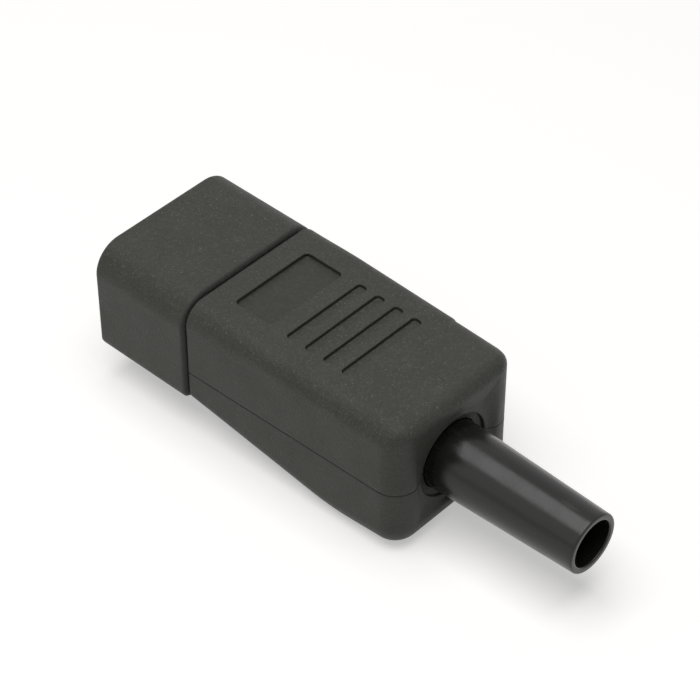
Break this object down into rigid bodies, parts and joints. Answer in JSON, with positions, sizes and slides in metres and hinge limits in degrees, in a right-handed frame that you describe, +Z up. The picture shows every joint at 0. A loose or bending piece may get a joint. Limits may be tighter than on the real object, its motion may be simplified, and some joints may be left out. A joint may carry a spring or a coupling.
{
  "type": "iec power plug",
  "caption": "Rewirable three-pole appliance cord connector: rectangular nose, two-part ribbed housing and a tapered cord sleeve.",
  "frame": {"origin": "centre of the nose's mating face, midway between its long edges", "axes": "+X from the mating face along the connector to the cord, +Z up on the earth side, +Y the neutral side"},
  "size_m": [0.072, 0.0238, 0.0207],
  "materials": {
    "shell_plastic": "fine moulded grain",
    "block_plastic": "fine moulded grain",
    "sleeve_plastic": "smooth, slightly glossy",
    "contact_brass": "plain brass",
    "plated_steel": "zinc plated"
  },
  "bodies": {
    "root": {"contact_block": "block_plastic", "upper_shell": "shell_plastic", "lower_shell": "shell_plastic", "cord_sleeve": "sleeve_plastic", "cord_clamp": "shell_plastic", "line_contact": "contact_brass", "neutral_contact": "contact_brass", "earth_contact": "contact_brass", "line_washer": "plated_steel", "neutral_washer": "plated_steel", "earth_washer": "plated_steel", "line_terminal_screw": "plated_steel", "neutral_terminal_screw": "plated_steel", "earth_terminal_screw": "plated_steel", "cord_screw_left": "plated_steel", "cord_screw_right": "plated_steel", "housing_screw_left": "plated_steel", "housing_screw_right": "plated_steel", "threaded_insert_left": "contact_brass", "threaded_insert_right": "contact_brass"}
  },
  "joints": []
}
